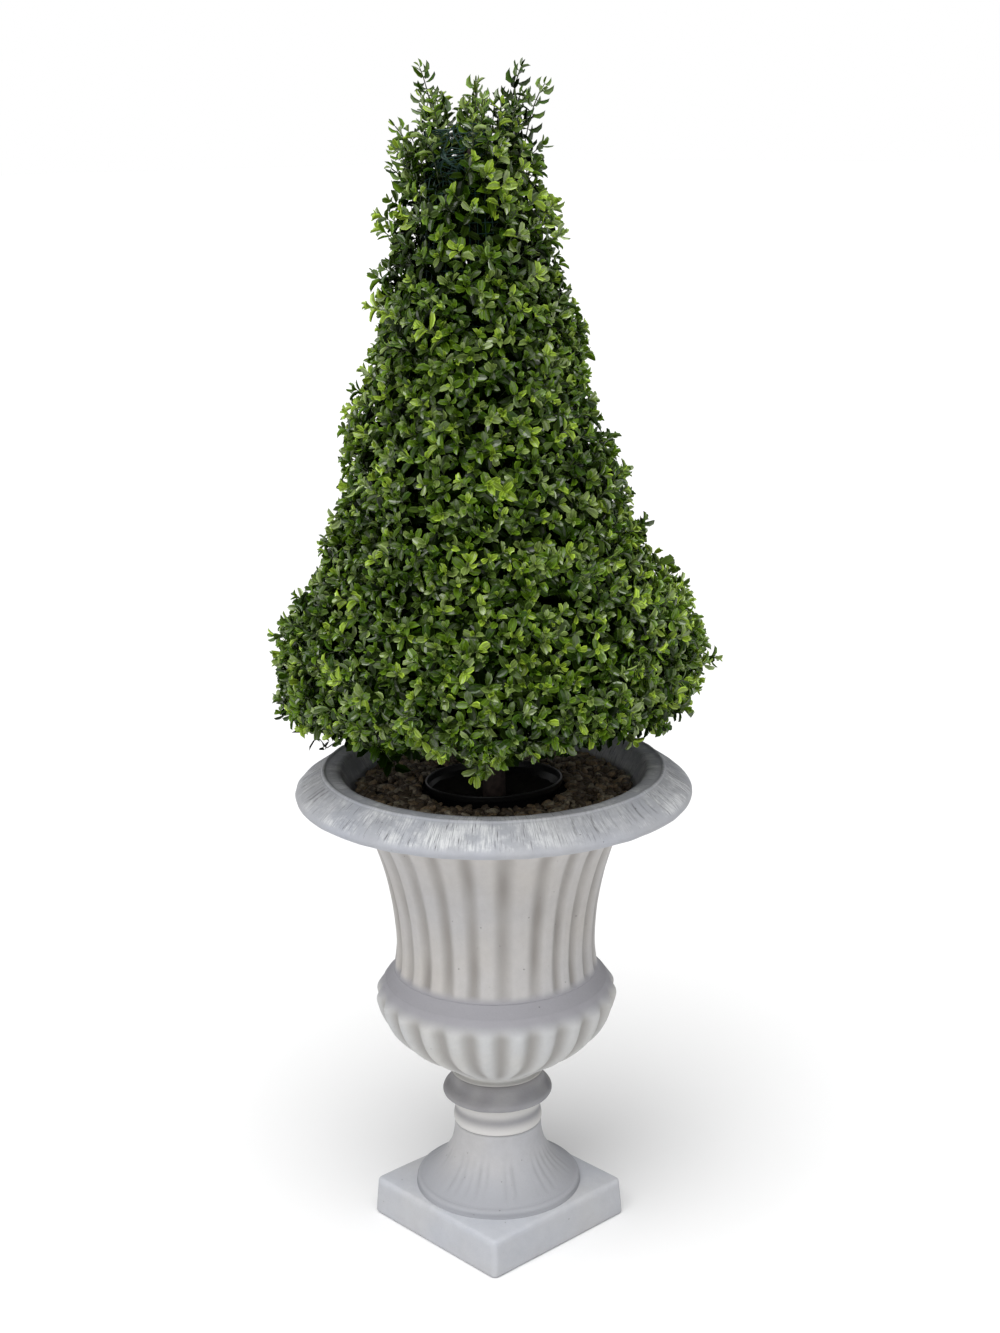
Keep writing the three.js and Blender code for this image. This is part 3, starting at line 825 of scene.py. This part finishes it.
def below(height, over):
    """For each tip, 0 above a height up the stem and 1 once it is that far below it."""
    return np.clip((height - rise) / over, 0, 1)


tips, facing = [], []
for name in MASSES:
    side_spacing = CROWN_SPACING if name == "foliage_crown" else SPRAY_SPACING
    for corners, spacing in zip(outer_faces(name), (side_spacing, UNDER_SPACING)):
        if len(corners):
            spots, normals = scattered(corners, spacing)
            tips.append(spots)
            facing.append(normals)
strays = [(out * math.sin(math.radians(turn)), -out * math.cos(math.radians(turn)), height)
          for turn, out, height in HEM_STRAYS]
tips.append(np.array(strays))
facing.append(np.tile((0.0, 0.0, -1.0), (len(strays), 1)))
tips, facing = np.concatenate(tips), np.concatenate(facing)
rise, out, way_out = off_stem(tips)
thinned = np.interp(rise, (THIN_ABOVE, THIN_ABOVE + THIN_OVER), (0, THIN_SHARE))
kept = spray_rolls.random(len(tips)) > thinned
kept &= (rise < GAP_RISE) | (way_out @ GAP_WAY < GAP_COSINE)
tips, facing, rise, out, way_out = tips[kept], facing[kept], rise[kept], out[kept], way_out[kept]
stray = np.arange(len(tips)) >= len(tips) - len(strays)
lift = np.interp(rise, (0.07, 0.13, 0.34, 0.64, 0.79), (-0.15, 0.10, 0.28, 0.45, 0.8))
heading = unit(0.75 * way_out + 0.55 * facing + lift[:, None] * UP + spray_rolls.normal(0, 0.27, tips.shape))

# Each tip is then set back from the face of its mass, or stands a little proud of it. The cone was
# clipped harder on the left at two heights, and on the right over its middle.
hollow_between = np.clip(-cloudy(tips, 0.030, 5.0) - 0.20, 0, 1)
set_back = SET_BACK + CLUMP_DEPTH * cloudy(tips, 0.045, 2.0) + HOLLOW_DEPTH * hollow_between
set_back += spray_rolls.normal(0, 0.006, len(tips))
proud = spray_rolls.random(len(tips)) < np.interp(rise, (0.3, 0.70), (0.0, 0.20))
set_back -= np.where(proud, np.interp(rise, (0.55, 0.75), (0.007, 0.016)), 0)
leftward = np.clip(way_out @ LEFT_WAY, 0, 1)
rightward = np.clip(-(way_out @ LEFT_WAY), 0, 1)
sideward = leftward + rightward
for depth, height in LEFT_BITES:
    set_back += leftward * depth * np.exp(-((rise - height) / BITE_WIDTH)**2)
set_back += rightward * RIGHT_TRIM * np.clip((rise - 0.25) / 0.04, 0, 1) * below(0.68, 0.06)
set_back += (0.006 + 0.020 * sideward) * below(HEM_TOP, 0.05)
hanging = (rise < HEM_TOP) & (sideward < 0.6) & (spray_rolls.random(len(tips)) < HANG_SHARE)
most_proud = np.where((rise > HEM_TOP) & (rise < 0.50), -0.007, -0.014)
set_back = np.clip(set_back - HANG_DROP * hanging, most_proud, DEEPEST)
set_back[stray] = 0.0
heading = unit(heading - (0.8 * hanging + 0.2 * stray)[:, None] * UP)
tips = tips - heading * set_back[:, None] + np.outer(HEM_LIFT * leftward * below(0.12, 0.04), UP)
spray_size = spray_rolls.uniform(0.84, 1.12, len(tips))
spray_size[stray] = STRAY_SIZE

# Vigour makes a spray's leaves paler. It comes in clumps. Sprays set back into the foliage are made darker,
# as painted shade, and those standing proud paler; low down, sprays on the right are paler and the rest a
# little darker.
vigour_and_light = 0.5 + 0.24 * cloudy(tips, 0.055, 9.0) + spray_rolls.normal(0, 0.27, len(tips))
vigour_and_light -= 16 * (set_back - 0.006)
vigour_and_light += (0.15 * rightward - 0.06) * below(0.36, 0.1)
vigour_and_light[stray] = STRAY_VIGOUR_AND_LIGHT


def stem_at(back):
    """The points that far behind each spray's tip, on its bowed stem."""
    return tips - heading * (back * spray_size)[:, None] - UP * SPRAY_BOW * back**2


def rods(name, starts, ends, radii, sides, material):
    """Thin closed rods from starts to ends, each a little thinner at its far end."""
    shape = bmesh.new()
    bmesh.ops.create_cone(shape, cap_ends=True, segments=sides, radius1=1, radius2=0.8, depth=1)
    bmesh.ops.translate(shape, vec=(0, 0, 0.5), verts=shape.verts)
    span = ends - starts
    along = unit(span)
    right = unit(np.cross(along, along[:, [1, 2, 0]] + (0.3, 0.1, 0.2)))
    turns = np.stack([right * radii[:, None], np.cross(along, right) * radii[:, None], span], 2)
    return stamped(name, pattern(shape), turns, starts, material)


stem_green = moulded("stem_green", (0.035, 0.050, 0.014), 0.45)
joints = [stem_at(back) for back in (0, SPRAY_LENGTH / 2, SPRAY_LENGTH)]
stem_ends = np.concatenate(joints[:-1])
stem_starts = np.concatenate(joints[1:])
stems = rods("spray_stems", stem_starts, stem_ends, np.full(len(stem_starts), STEM_RADIUS), 3, stem_green)
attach(stems, "root")
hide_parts(*MASSES)


# Boughs and twigs: they leave the stem in a spiral and rise outwards, and each forks in two again
# and again until it reaches its sprays. A bough is as thick as the number of sprays it feeds.
BOUGHS = 60
BOUGH_FEET = (0.095, 0.765)
BOUGH_RISE = 0.45
SPIRAL_TURN = math.radians(137.5)
TWIG_RADIUS = 0.0010
THICKENING = 0.38

bases = stem_at(SPRAY_LENGTH)
base_rise, base_out, base_way = off_stem(bases)
foot_heights = np.linspace(*BOUGH_FEET, BOUGHS)
foot_turns = np.arange(BOUGHS) * SPIRAL_TURN
foot_ways = np.stack([np.cos(foot_turns), np.sin(foot_turns), 0 * foot_turns], 1)
climb = np.clip(base_rise - BOUGH_RISE * base_out, *BOUGH_FEET)
apart = np.abs(climb[:, None] - foot_heights[None]) / 0.06 + 1 - base_way @ foot_ways.T
bough_of = apart.argmin(axis=1)
forks = []


def grow(here, targets):
    """Runs one bough from here towards its targets, and splits them between two forks."""
    thickness = TWIG_RADIUS * len(targets)**THICKENING
    if len(targets) == 1:
        forks.append((here, targets[0], thickness))
        return
    middle = targets.mean(axis=0)
    steps_left = math.log2(len(targets)) + 1
    there = here + (middle - here) / steps_left + spray_rolls.normal(0, 0.002, 3)
    forks.append((here, there, thickness))
    widest = np.linalg.svd(targets - middle)[2][0]
    order = np.argsort((targets - middle) @ widest)
    for half in (order[:len(order) // 2], order[len(order) // 2:]):
        grow(there, targets[half])


for bough in range(BOUGHS):
    fed = bases[bough_of == bough]
    if len(fed):
        grow(pivot + upright * foot_heights[bough], fed)
fork_starts, fork_ends, fork_radii = (np.array(column) for column in zip(*forks))
thick = fork_radii > 0.0022
for name, chosen, sides in (("boughs", thick, 6), ("twigs", ~thick, 3)):
    wood = rods(name, fork_starts[chosen], fork_ends[chosen], fork_radii[chosen], sides, bark_skin)
    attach(wood, "root")
    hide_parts(*MASSES)


# Leaves: oval, cupped along the midrib and arched back, in pairs set crosswise up each stem. The
# plastic is moulded in greens from lime, at the fresh tips, to dark green further back; the
# darkest, near black in the inside, are painted shade.
LEAF_LENGTH = 0.0188
LEAF_WIDTH = 0.0094
LEAF_HALF = LEAF_WIDTH / 2 / LEAF_LENGTH
LEAF_ROUGHNESS = 0.26
BARE_TONE = 3.05
LIGHT_AND_VIGOUR_TONES = 3.5
FINE_PAIRS = 4
INNER_GLOSS = 0.10
# A pair is (way back from the tip, size, degrees opened from the stem, tones darker). The tones
# darker are partly the older leaves' own darker green and partly painted shade. A tone is
# (name, colour, gloss), from the palest to the darkest.
PAIRS = ((0.000, 0.56, 22, 0), (0.0036, 0.82, 44, 0.4), (0.0095, 0.98, 58, 1.5), (0.0168, 1.04, 68, 2.4),
         (0.0255, 1.06, 72, 3.5), (0.0350, 1.08, 76, 4.5), (0.0455, 1.10, 80, 5.3), (0.0565, 1.12, 80, 6.0),
         (0.0685, 1.15, 80, 6.4))
LEAF_TONES = (("leaves_lime", (0.218, 0.318, 0.024), 0.60), ("leaves_fresh", (0.152, 0.214, 0.048), 0.95),
              ("leaves_bright", (0.079, 0.148, 0.005), 0.65), ("leaves_green", (0.049, 0.086, 0.010), 0.85),
              ("leaves_deep", (0.021, 0.052, 0.001), 0.45), ("leaves_blue", (0.013, 0.026, 0.002), 0.35),
              ("leaves_shade", (0.003, 0.008, 0.0003), 0.10))


def leaf_shape(stations, strips):
    """A leaf along +Y, cupped along its midrib: each station is (place along, half width, droop).

    Each half is laid in strips, given as (share of the half width, share of its lift).
    """
    shape = bmesh.new()
    ribs = [shape.verts.new((0, along, -droop)) for along, half, droop in stations]
    ribbed = [1.0] * len(ribs)
    for side in (-1, 1):
        line = ribs
        for share, lift in strips:
            edge = [ribs[0]]
            for along, half, droop in stations[1:-1]:
                edge.append(shape.verts.new((side * half * share, along, half * lift - droop)))
                ribbed.append(1 - share)
            edge.append(ribs[-1])
            for i in range(len(stations) - 1):
                corners = list(dict.fromkeys([line[i], line[i + 1], edge[i + 1], edge[i]]))
                if len(corners) > 2:
                    shape.faces.new(corners if side < 0 else corners[::-1])
            line = edge
    return pattern(shape), np.array(ribbed)


def leaf_green(name, colour, gloss):
    """Moulded leaf: slightly cloudy, with a paler midrib, a painted highlight along its edge, and as much
    shine as is given.
    """
    material, nodes, shader = blank(name, {"Roughness": LEAF_ROUGHNESS, "Specular IOR Level": gloss})
    # Fully pale at the edge, a painted highlight; partly pale on the midrib, its own colour.
    paler = nodes.new("ShaderNodeValToRGB")
    paler.color_ramp.elements[0].color = (1, 1, 1, 1)
    paler.color_ramp.elements[1].color = (0.4, 0.4, 0.4, 1)
    for place in (0.34, 0.80):
        paler.color_ramp.elements.new(place).color = (0, 0, 0, 1)
    wired(paler, {"Fac": mesh_layer(nodes, "rib")})
    clouds = cloud(nodes, 90)
    tones = clouded(nodes, clouds, colour, ((0.3, 0.82), (0.7, 1.15)))
    pale = (*(min(1, 2.3 * part + 0.12 * colour[1]) for part in colour), 1)
    mix = nodes.new("ShaderNodeMix")
    mix.data_type = "RGBA"
    wired(mix, {0: paler.outputs["Color"], 6: tones, 7: pale})
    wired(shader, {"Base Color": mix.outputs[2]})
    return material


fine_leaf, fine_rib = leaf_shape([(0, 0, 0), (0.24, 0.64 * LEAF_HALF, -0.04), (0.58, LEAF_HALF, 0.0),
                                  (0.89, 0.78 * LEAF_HALF, 0.09), (1, 0, 0.14)], [(0.66, 0.26), (1, 0.80)])
plain_leaf, plain_rib = leaf_shape([(0, 0, 0), (0.32, 0.82 * LEAF_HALF, -0.03),
                                    (0.74, 0.90 * LEAF_HALF, 0.07), (1, 0, 0.18)], [(1, 0.60)])
leaf_spots, leaf_turns, leaf_tone, leaf_fine = [], [], [], []


def add_pair(joint, stem_way, side, spread, length, slim, tone, fine, curl=1.0):
    """Sets two leaves at each joint, one to each side of its stem."""
    count = len(joint)
    for flip in (-1, 1):
        open_out = np.radians(spread + spray_rolls.normal(0, 8, count))[:, None]
        along = stem_way * np.cos(open_out) + flip * side * np.sin(open_out)
        along = unit(along + spray_rolls.normal(0, 0.08, joint.shape))
        face_up = unit(stem_way - along * (stem_way * along).sum(axis=1)[:, None])
        face_up = unit(face_up + np.cross(along, face_up) * spray_rolls.normal(0, 0.22, count)[:, None])
        long = length * spray_rolls.uniform(0.88, 1.1, count)
        wide = long * slim * spray_rolls.uniform(0.9, 1.12, count)
        cup = curl * long * spray_rolls.uniform(0.4, 1.6, count) * spray_rolls.choice((1, 1, 1, -0.7), count)
        right = np.cross(along, face_up)
        leaf_turns.append(np.stack([right * wide[:, None], along * long[:, None], face_up * cup[:, None]], 2))
        leaf_spots.append(joint)
        leaf_tone.append(tone + spray_rolls.normal(0, 1.0, count))
        leaf_fine.append(np.full(count, fine))


across = unit(np.cross(heading, unit(spray_rolls.normal(0, 1, tips.shape))))
# Each pair further back is darker, partly painted shade; on strays, hanging free, half as much.
for pair, (back, size, spread, darker) in enumerate(PAIRS):
    side = across if pair % 2 == 0 else np.cross(heading, across)
    add_pair(stem_at(back), heading, side, spread, LEAF_LENGTH * size * spray_size, 1.0,
             BARE_TONE - LIGHT_AND_VIGOUR_TONES * vigour_and_light + darker * (1 - 0.5 * stray), pair < FINE_PAIRS)


# Leaders: loose sprays left unclipped round the crown's open top, with leaves wide apart on bare
# stems. A ring of short ones fills it, a few long ones arch over, and three more stand out at the
# left. The long ones have slim leaves, curled back.
LEADERS_EACH = 3
LEADER_STEP = 0.0110
LEADER_PAIRS = 11
LEADER_LEAF = 0.0186
LEADER_SLIM = 0.46
LEADER_CURL = -1.5
LEADER_FOOT = 0.64
LEADER_STEM = 0.0009
RING_LEADERS = 44
RING_RISE = (0.765, 0.832)
RING_OUT = (0.018, 0.072)
RING_SLIM = 0.86
RING_GAP_COSINE = 0.90
SIDE_LEADERS = ((0.796, 0.086), (0.772, 0.090), (0.748, 0.093))
leader_tips = []
for name in TUFTS:
    points = triangles_of(name).reshape(-1, 3)
    low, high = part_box(name)
    heart = np.array((low + high) / 2)
    upper = points[points[:, 2] > low.z + 0.5 * (high.z - low.z)]
    ends = [upper[upper[:, 2].argmax()]]
    while len(ends) < LEADERS_EACH:
        lone = np.min([np.linalg.norm(upper - end, axis=1) for end in ends], axis=0)
        ends.append(upper[lone.argmax()])
    leader_tips += [(end + 0.006 * unit((heart - end)[None])[0], True) for end in ends]
for number in range(RING_LEADERS):
    out = RING_OUT[0] + (RING_OUT[1] - RING_OUT[0]) * math.sqrt((number + 0.5) / RING_LEADERS)
    turn = number * SPIRAL_TURN
    level = np.array((math.cos(turn), math.sin(turn), 0))
    high = spray_rolls.uniform(*RING_RISE) - 0.35 * max(0, out - 0.045)
    if level @ GAP_WAY < RING_GAP_COSINE:
        leader_tips.append((pivot + upright * high + out * level, False))
for high, out in SIDE_LEADERS:
    leader_tips.append((pivot + upright * high + out * LEFT_WAY, True))
leader_bits = []
for tip, arching in leader_tips:
    rise, out, way_out = (part[0] for part in off_stem(tip[None]))
    foot = pivot + upright * LEADER_FOOT + 0.6 * out * way_out
    bend = foot + (0.72 if arching else 0.55) * (rise - LEADER_FOOT) * upright + 0.06 * (tip - foot)
    length = np.linalg.norm(tip - foot)
    side = unit(np.cross((tip - bend)[None], spray_rolls.normal(0, 1, (1, 3))))
    here = tip
    tone = spray_rolls.uniform(0.2, 2.6) + 0.5 * arching
    for pair in range(LEADER_PAIRS):
        t = max(0.0, 1 - pair * LEADER_STEP / length)
        spot = foot * (1 - t)**2 + bend * 2 * t * (1 - t) + tip * t**2
        stem_way = unit((2 * (1 - t) * (bend - foot) + 2 * t * (tip - bend))[None])
        side = unit(np.cross(stem_way, side))
        size = np.array([LEADER_LEAF * (0.60 + 0.40 * min(1, pair / 2)) * (1.0 if arching else 0.96)])
        slim, curl = (LEADER_SLIM, LEADER_CURL) if arching else (RING_SLIM, 1.0)
        # The pairs darken towards the leader's foot, partly painted shade, as on the sprays.
        add_pair(spot[None], stem_way, side, 40 + 9 * min(pair, 3), size, slim,
                 np.array([tone + 0.42 * pair]), True, curl)
        if pair:
            leader_bits.append((spot, here))
        here = spot
    leader_bits.append((foot, here))
leader_starts, leader_ends = (np.array(column) for column in zip(*leader_bits))
leader_radii = np.full(len(leader_starts), LEADER_STEM)
leaders = rods("leader_stems", leader_starts, leader_ends, leader_radii, 4, stem_green)
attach(leaders, "root")
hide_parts(*TUFTS)

leaf_spots, leaf_turns = np.concatenate(leaf_spots), np.concatenate(leaf_turns)
leaf_tone = np.clip(np.round(np.concatenate(leaf_tone)), 0, len(LEAF_TONES) - 1).astype(int)
leaf_fine = np.concatenate(leaf_fine)
for tone, (name, colour, gloss) in enumerate(LEAF_TONES):
    for title, fine, stamp, rib, shine in (("_outer", True, fine_leaf, fine_rib, gloss),
                                           ("_inner", False, plain_leaf, plain_rib, gloss * INNER_GLOSS)):
        chosen = (leaf_tone == tone) & (leaf_fine == fine)
        if chosen.any():
            green = leaf_green(name + title, colour, shine)
            leaves = stamped(name + title, stamp, leaf_turns[chosen], leaf_spots[chosen], green, {"rib": rib},
                             smooth=False)
            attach(leaves, "root")
            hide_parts(*MASSES, *TUFTS)


# Studio: a plain white floor that runs out of sight, two broad soft lights to the left of the
# camera, the strong one high and the weak one low, an even fill from all round, and the camera.
CAMERA_TURN = math.radians(46.99)
CAMERA_TILT = math.radians(15)
CAMERA_ROLL = math.radians(-0.655)
CAMERA_AWAY = 2.4197
CAMERA_ASIDE = 0.00963
CAMERA_HEIGHT = 1.4050
CAMERA_LENS = 54.39
FLOOR_REACH = 60
BACKDROP = 1.0
FILL = 0.29
KEY_SPREAD = math.radians(58)
KEY_LIGHTS = {"key_light": (-12, 68, 2.95), "front_light": (-20, 22, 0.55)}
WHITE = (1.0, 1.0, 1.0, 1)

studio_white = blank("studio_white", {"Base Color": (0.93, 0.93, 0.93, 1), "Roughness": 0.95,
                                      "Specular IOR Level": 0.0})[0]
ground = bmesh.new()
bmesh.ops.create_grid(ground, x_segments=1, y_segments=1, size=FLOOR_REACH)
floor = finished("floor", ground, studio_white)

world = bpy.data.worlds.new("studio")
world.use_nodes = True
around = world.node_tree.nodes
fill = wired(around["Background"], {"Color": WHITE, "Strength": FILL})
backdrop = wired(around.new("ShaderNodeBackground"), {"Color": WHITE, "Strength": BACKDROP})
seen = around.new("ShaderNodeLightPath").outputs["Is Camera Ray"]
both = wired(around.new("ShaderNodeMixShader"),
             {0: seen, 1: fill.outputs["Background"], 2: backdrop.outputs["Background"]})
wired(around["World Output"], {"Surface": both.outputs["Shader"]})
scene.world = world

for name, (key_turn, key_rise, power) in KEY_LIGHTS.items():
    key = bpy.data.lights.new(name, "SUN")
    key.energy = power
    key.angle = KEY_SPREAD
    holder = bpy.data.objects.new(name, key)
    key_way = CAMERA_TURN + math.radians(key_turn)
    level, up = math.cos(math.radians(key_rise)), math.sin(math.radians(key_rise))
    key_from = Vector((level * math.sin(key_way), -level * math.cos(key_way), up))
    holder.rotation_euler = key_from.to_track_quat("Z", "Y").to_euler()
    scene.collection.objects.link(holder)

view = bpy.data.cameras.new("camera")
view.lens = CAMERA_LENS
view.sensor_width = 36
view.clip_end = 200
camera = bpy.data.objects.new("camera", view)
towards = Vector((math.sin(CAMERA_TURN), -math.cos(CAMERA_TURN), 0))
aside = Vector((math.cos(CAMERA_TURN), math.sin(CAMERA_TURN), 0))
look = Matrix.Rotation(CAMERA_TURN, 4, "Z") @ Matrix.Rotation(math.pi / 2 - CAMERA_TILT, 4, "X")
look = look @ Matrix.Rotation(CAMERA_ROLL, 4, "Z")
stand = towards * CAMERA_AWAY + aside * CAMERA_ASIDE + Vector((0, 0, CAMERA_HEIGHT))
camera.matrix_world = Matrix.Translation(stand) @ look
scene.collection.objects.link(camera)
scene.camera = camera
scene.view_settings.view_transform = "Standard"
